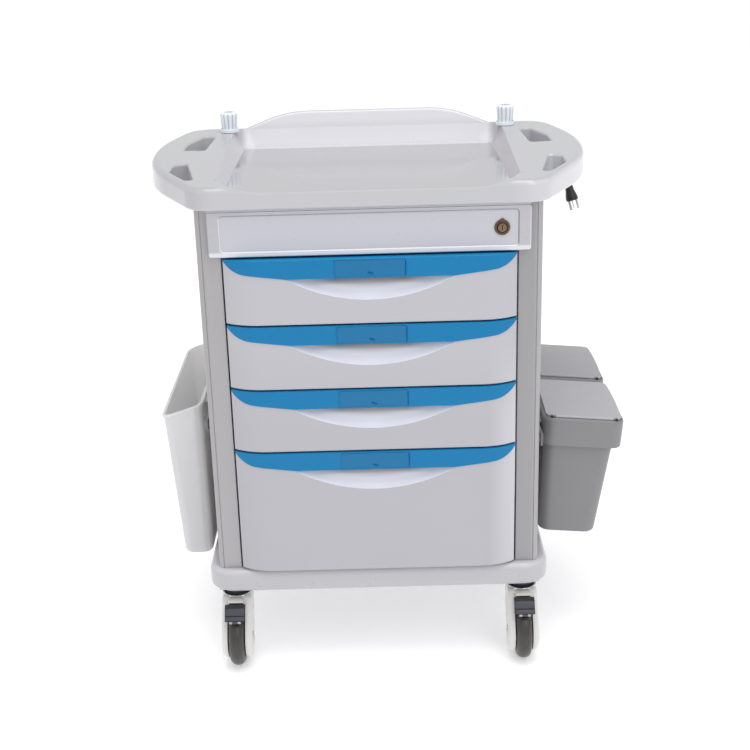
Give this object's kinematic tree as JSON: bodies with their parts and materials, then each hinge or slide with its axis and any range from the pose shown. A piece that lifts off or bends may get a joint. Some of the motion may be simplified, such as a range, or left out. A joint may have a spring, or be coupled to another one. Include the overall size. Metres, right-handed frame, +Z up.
{
  "type": "crash cart",
  "caption": "Hospital crash cart: bowed lockable drawers with pull bands, moulded worktop with hand-holes and pole sockets, hooded casters and side bins.",
  "frame": {"origin": "on the floor, under the middle of the cabinet between its four casters", "axes": "+X to the cart's right as seen by someone facing the drawers, +Y to its rear, +Z up"},
  "size_m": [0.8019, 0.542, 0.9011],
  "materials": {
    "white_abs": "glossy moulded ABS",
    "column_grey": "satin grey extrusion",
    "panel_white": "satin coated sheet steel",
    "blue_abs": "glossy",
    "label_clear": "clear tinted",
    "lock_bronze": "dark brushed",
    "steel": "zinc plated",
    "drawer_tub": "matt",
    "hood_plastic": "glossy",
    "wheel_rubber": "satin",
    "pedal_grey": "satin",
    "bar_aluminium": "mill finish",
    "socket_metal": "satin",
    "clamp_white": "glossy",
    "bin_cream": "satin",
    "bin_grey": "satin",
    "lid_grey": "satin",
    "strip_white": "glossy",
    "hook_grey": "satin",
    "cord_black": "satin"
  },
  "bodies": {
    "cart": {"base": "white_abs", "front_left_column": "column_grey", "front_right_column": "column_grey", "rear_columns": "column_grey", "left_side_panel": "panel_white", "right_side_panel": "panel_white", "back_panel": "panel_white", "top_frame": "steel", "worktop": "white_abs", "fascia": "white_abs", "lock_housing": "lock_bronze", "left_drawer_rails": "steel", "right_drawer_rails": "steel", "pole_sockets": "socket_metal", "caster_mounts": "steel", "bin_rails": "socket_metal", "left_bin": "bin_cream", "front_waste_collar": "bin_grey", "front_waste_box": "bin_grey", "rear_waste_collar": "bin_grey", "rear_waste_box": "bin_grey", "power_strip": "strip_white", "cord_hooks": "hook_grey", "cord_lead": "cord_black", "cord_winding": "cord_black", "cord_tail": "cord_black", "plug": "cord_black"},
    "drawer_1": {"drawer_1_front": "white_abs", "drawer_1_band": "blue_abs", "drawer_1_label_cover": "label_clear", "drawer_1_box": "drawer_tub"},
    "drawer_2": {"drawer_2_front": "white_abs", "drawer_2_band": "blue_abs", "drawer_2_label_cover": "label_clear", "drawer_2_box": "drawer_tub"},
    "drawer_3": {"drawer_3_front": "white_abs", "drawer_3_band": "blue_abs", "drawer_3_label_cover": "label_clear", "drawer_3_box": "drawer_tub"},
    "drawer_4": {"drawer_4_front": "white_abs", "drawer_4_band": "blue_abs", "drawer_4_label_cover": "label_clear", "drawer_4_box": "drawer_tub"},
    "lock_barrel": {"lock_barrel": "lock_bronze"},
    "lock_bar": {"lock_bar": "bar_aluminium"},
    "left_pole_clamp": {"left_pole_clamp": "clamp_white"},
    "right_pole_clamp": {"right_pole_clamp": "clamp_white"},
    "front_left_caster": {"front_left_caster_fork": "hood_plastic"},
    "front_left_wheel": {"front_left_wheel": "wheel_rubber"},
    "front_left_pedal": {"front_left_brake_pedal": "pedal_grey"},
    "front_right_caster": {"front_right_caster_fork": "hood_plastic"},
    "front_right_wheel": {"front_right_wheel": "wheel_rubber"},
    "front_right_pedal": {"front_right_brake_pedal": "pedal_grey"},
    "rear_left_caster": {"rear_left_caster_fork": "hood_plastic"},
    "rear_left_wheel": {"rear_left_wheel": "wheel_rubber"},
    "rear_right_caster": {"rear_right_caster_fork": "hood_plastic"},
    "rear_right_wheel": {"rear_right_wheel": "wheel_rubber"},
    "front_waste_lid": {"front_waste_lid": "lid_grey"},
    "rear_waste_lid": {"rear_waste_lid": "lid_grey"}
  },
  "joints": [
    {"name": "drawer_1_slide", "type": "slide", "parent": "cart", "child": "drawer_1", "axis": [0, -1, 0], "range_m": [0, 0.3]},
    {"name": "drawer_2_slide", "type": "slide", "parent": "cart", "child": "drawer_2", "axis": [0, -1, 0], "range_m": [0, 0.3]},
    {"name": "drawer_3_slide", "type": "slide", "parent": "cart", "child": "drawer_3", "axis": [0, -1, 0], "range_m": [0, 0.3]},
    {"name": "drawer_4_slide", "type": "slide", "parent": "cart", "child": "drawer_4", "axis": [0, -1, 0], "range_m": [0, 0.3]},
    {"name": "lock_turn", "type": "hinge", "parent": "cart", "child": "lock_barrel", "pos_m": [0.2095, -0.23, 0.776], "axis": [0, 1, 0], "range_deg": [0, 90]},
    {"name": "lock_bar_slide", "type": "slide", "parent": "cart", "child": "lock_bar", "axis": [0, 0, -1], "range_m": [0, 0.017]},
    {"name": "left_pole_clamp_turn", "type": "hinge", "parent": "cart", "child": "left_pole_clamp", "pos_m": [-0.2565, 0.204, 0.88], "axis": [0, 0, 1], "range_deg": [0, 180]},
    {"name": "right_pole_clamp_turn", "type": "hinge", "parent": "cart", "child": "right_pole_clamp", "pos_m": [0.2565, 0.204, 0.88], "axis": [0, 0, 1], "range_deg": [0, 180]},
    {"name": "front_left_swivel", "type": "hinge", "parent": "cart", "child": "front_left_caster", "pos_m": [-0.2505, -0.196, 0.13], "axis": [0, 0, 1], "continuous": true},
    {"name": "front_left_wheel_spin", "type": "hinge", "parent": "front_left_caster", "child": "front_left_wheel", "pos_m": [-0.2505, -0.231, 0.05], "axis": [1, 0, 0], "continuous": true},
    {"name": "front_left_pedal_press", "type": "hinge", "parent": "front_left_caster", "child": "front_left_pedal", "pos_m": [-0.2505, -0.224, 0.11], "axis": [1, 0, 0], "range_deg": [0, 10]},
    {"name": "front_right_swivel", "type": "hinge", "parent": "cart", "child": "front_right_caster", "pos_m": [0.2505, -0.196, 0.13], "axis": [0, 0, 1], "continuous": true},
    {"name": "front_right_wheel_spin", "type": "hinge", "parent": "front_right_caster", "child": "front_right_wheel", "pos_m": [0.2505, -0.231, 0.05], "axis": [1, 0, 0], "continuous": true},
    {"name": "front_right_pedal_press", "type": "hinge", "parent": "front_right_caster", "child": "front_right_pedal", "pos_m": [0.2505, -0.224, 0.11], "axis": [1, 0, 0], "range_deg": [0, 10]},
    {"name": "rear_left_swivel", "type": "hinge", "parent": "cart", "child": "rear_left_caster", "pos_m": [-0.2505, 0.196, 0.13], "axis": [0, 0, 1], "continuous": true},
    {"name": "rear_left_wheel_spin", "type": "hinge", "parent": "rear_left_caster", "child": "rear_left_wheel", "pos_m": [-0.2505, 0.161, 0.05], "axis": [1, 0, 0], "continuous": true},
    {"name": "rear_right_swivel", "type": "hinge", "parent": "cart", "child": "rear_right_caster", "pos_m": [0.2505, 0.196, 0.13], "axis": [0, 0, 1], "continuous": true},
    {"name": "rear_right_wheel_spin", "type": "hinge", "parent": "rear_right_caster", "child": "rear_right_wheel", "pos_m": [0.2505, 0.161, 0.05], "axis": [1, 0, 0], "continuous": true},
    {"name": "front_waste_lid_hinge", "type": "hinge", "parent": "cart", "child": "front_waste_lid", "pos_m": [0.3583, -0.173, 0.42465], "axis": [0.9962, 0, -0.0872], "range_deg": [0, 100]},
    {"name": "rear_waste_lid_hinge", "type": "hinge", "parent": "cart", "child": "rear_waste_lid", "pos_m": [0.3583, 0.031, 0.42465], "axis": [0.9962, 0, -0.0872], "range_deg": [0, 100]}
  ],
  "couplings": [
    {"joint": "lock_bar_slide", "follows": "lock_turn", "m_per_rad": 0.010804}
  ]
}
